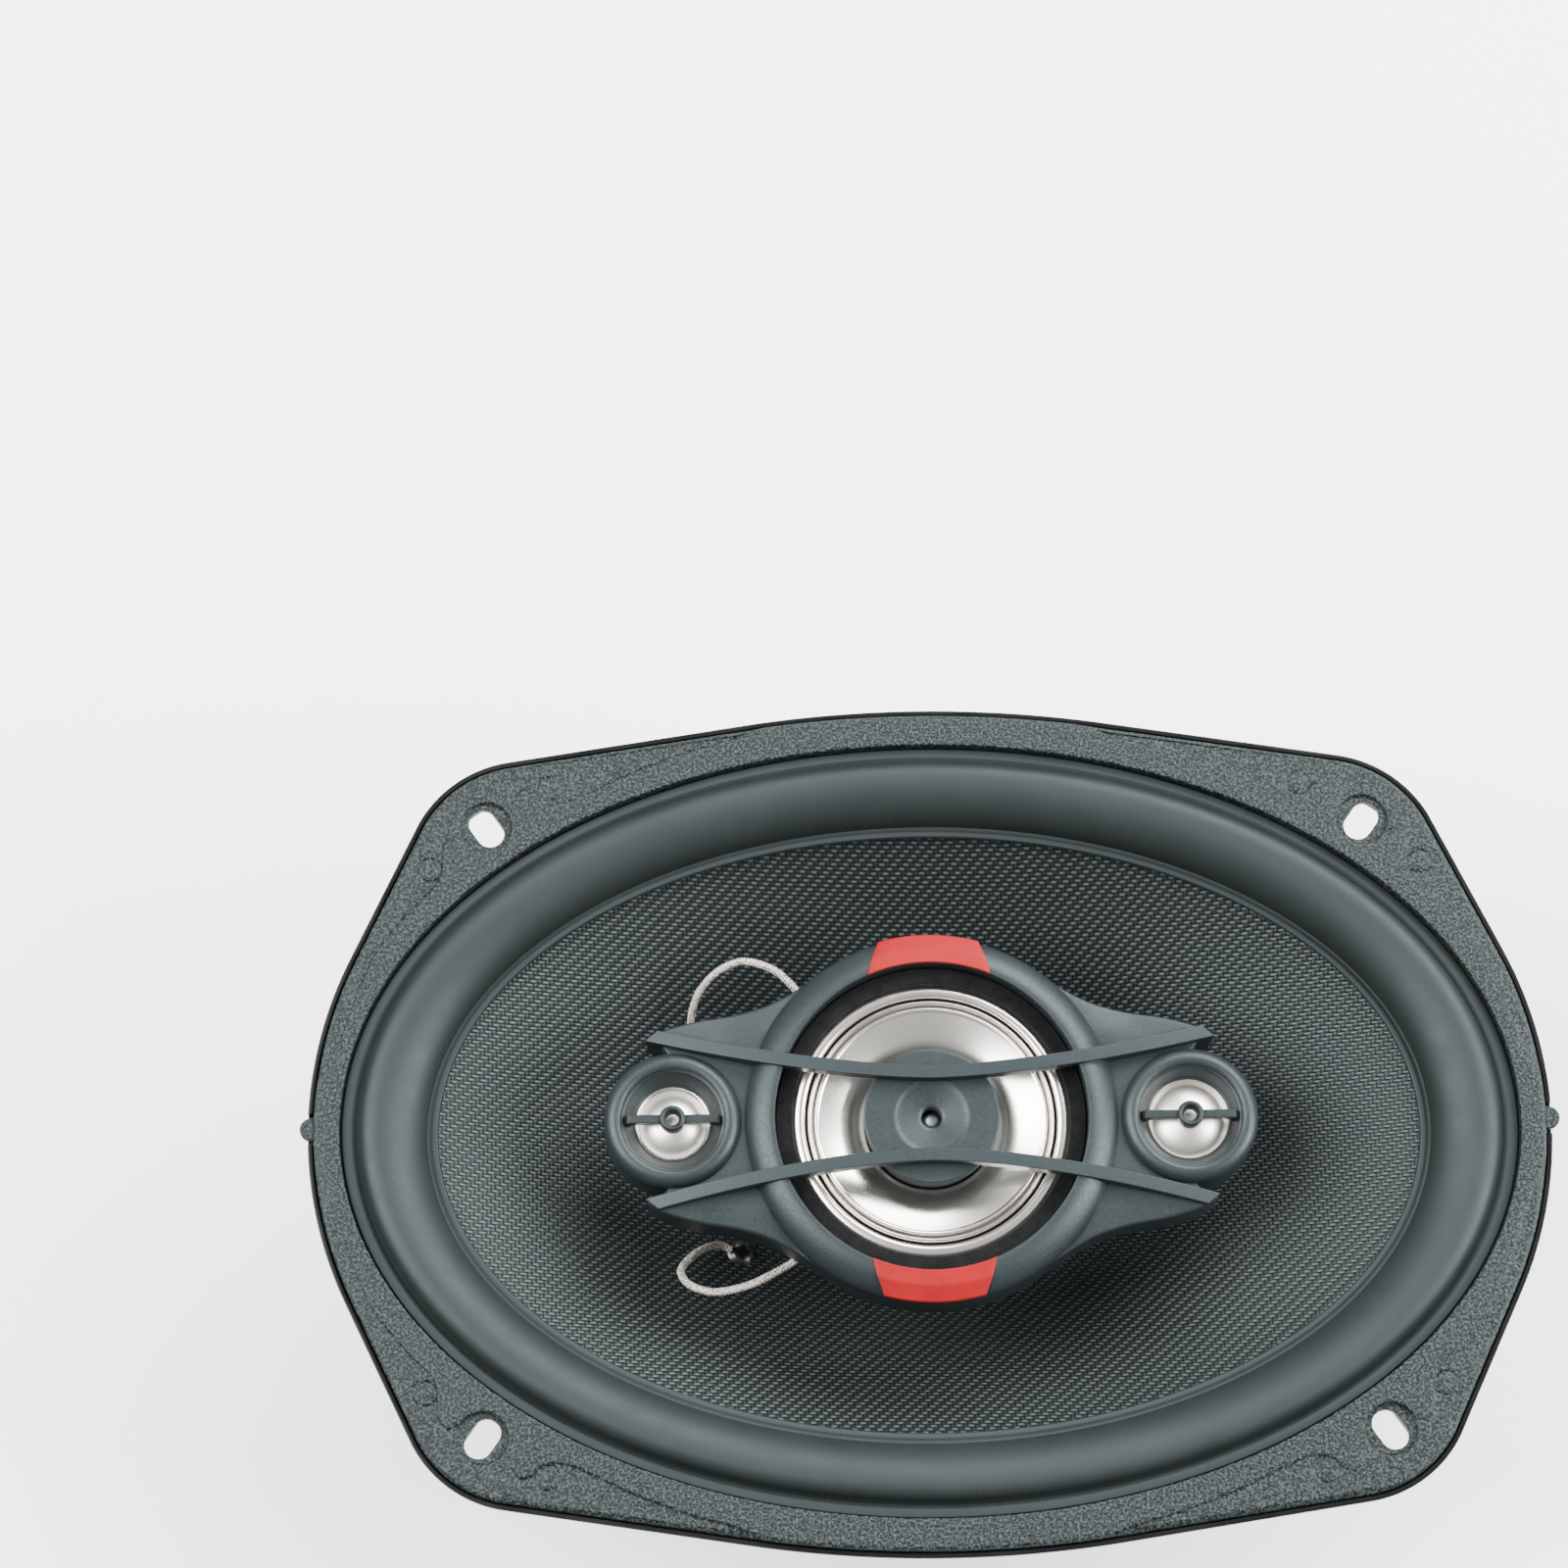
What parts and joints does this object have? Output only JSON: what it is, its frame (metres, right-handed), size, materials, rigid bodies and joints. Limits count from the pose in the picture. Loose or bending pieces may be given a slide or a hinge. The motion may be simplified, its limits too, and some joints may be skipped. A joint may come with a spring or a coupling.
{
  "type": "coaxial car speaker",
  "caption": "Oval car speaker with a woven cone, rubber half-roll surround and a bridge that carries a midrange driver and two tweeters, on a slotted steel flange.",
  "frame": {"origin": "centre of the flange's rear face, the face that lies on the mounting panel", "axes": "+Z out of the front of the speaker, +X along the long axis of the oval, +Y along the short axis"},
  "size_m": [0.239, 0.164, 0.0964],
  "materials": {
    "steel_black": "gloss black paint on pressed steel",
    "trim_plastic": "leather-grained charcoal moulding",
    "surround_rubber": "smooth satin black rubber",
    "woven_cone": "black woven texture with a light sheen",
    "spider_cloth": "resin-dipped corrugated cloth",
    "coil_aluminium": "thin rolled aluminium",
    "copper_wire": "enamelled copper turns",
    "black_glue": "cured black glue",
    "zinc_plate": "zinc-plated steel",
    "ferrite": "ground dark grey ferrite",
    "neodymium": "nickel-plated magnet",
    "turned_aluminium": "turned aluminium",
    "board_phenolic": "brown laminated board",
    "terminal_brass": "stamped brass spade terminals",
    "braided_lead": "silver and cotton braid",
    "bridge_plastic": "slate grey moulding with a fine satin grain",
    "cover_plastic": "black moulding",
    "blade_plastic": "slate grey moulding, smoother than the wings",
    "red_plastic": "glossy coral red moulding",
    "capacitor_sleeve": "printed-free shrink sleeve",
    "gasket_foam": "flat black gasket",
    "silver_film": "satin champagne metallised film",
    "silver_ring": "bright ring",
    "bezel_plastic": "smooth dark grey moulding"
  },
  "bodies": {
    "frame": {"basket": "steel_black", "trim_ring": "trim_plastic", "surround": "surround_rubber", "spider": "spider_cloth", "top_plate": "zinc_plate", "magnet": "ferrite", "yoke": "zinc_plate", "bridge_post": "turned_aluminium", "post_screw": "zinc_plate", "terminal_board": "board_phenolic", "terminal_positive": "terminal_brass", "terminal_negative": "terminal_brass", "terminal_rivets": "zinc_plate", "rear_lead_positive": "braided_lead", "rear_lead_negative": "braided_lead", "front_lead_upper": "braided_lead", "front_lead_lower": "braided_lead", "bridge_housing": "bridge_plastic", "bridge_cover": "cover_plastic", "bridge_screws": "zinc_plate", "blade_upper": "blade_plastic", "blade_lower": "blade_plastic", "red_inset_upper": "red_plastic", "red_inset_lower": "red_plastic", "capacitor_left": "capacitor_sleeve", "capacitor_right": "capacitor_sleeve", "mid_basket": "steel_black", "mid_gasket": "gasket_foam", "mid_surround": "silver_film", "mid_top_plate": "zinc_plate", "mid_magnet": "ferrite", "mid_yoke": "zinc_plate", "phase_plug": "bridge_plastic", "left_bezel": "bezel_plastic", "left_ring": "silver_ring", "left_pole": "zinc_plate", "left_magnet": "neodymium", "left_cup": "zinc_plate", "right_bezel": "bezel_plastic", "right_ring": "silver_ring", "right_pole": "zinc_plate", "right_magnet": "neodymium", "right_cup": "zinc_plate"},
    "cone_assembly": {"cone": "woven_cone", "voice_coil_former": "coil_aluminium", "voice_coil_winding": "copper_wire", "lead_eyelets": "black_glue"},
    "mid_diaphragm": {"mid_cone": "silver_film", "mid_voice_coil": "copper_wire"},
    "left_tweeter_dome": {"left_dome": "silver_film", "left_coil": "copper_wire"},
    "right_tweeter_dome": {"right_dome": "silver_film", "right_coil": "copper_wire"}
  },
  "joints": [
    {"name": "cone_travel", "type": "slide", "parent": "frame", "child": "cone_assembly", "axis": [0, 0, 1], "range_m": [-0.0045, 0.0045], "stiffness_N_per_m": 2200, "deforming": ["surround", "spider", "front_lead_upper", "front_lead_lower", "rear_lead_positive", "rear_lead_negative"]},
    {"name": "mid_travel", "type": "slide", "parent": "frame", "child": "mid_diaphragm", "axis": [0, 0, 1], "range_m": [-0.0008, 0.0008], "stiffness_N_per_m": 200, "deforming": ["mid_surround"]},
    {"name": "left_tweeter_travel", "type": "slide", "parent": "frame", "child": "left_tweeter_dome", "axis": [0, 0, 1], "range_m": [-0.00025, 0.00025], "stiffness_N_per_m": 50},
    {"name": "right_tweeter_travel", "type": "slide", "parent": "frame", "child": "right_tweeter_dome", "axis": [0, 0, 1], "range_m": [-0.00025, 0.00025], "stiffness_N_per_m": 50}
  ]
}
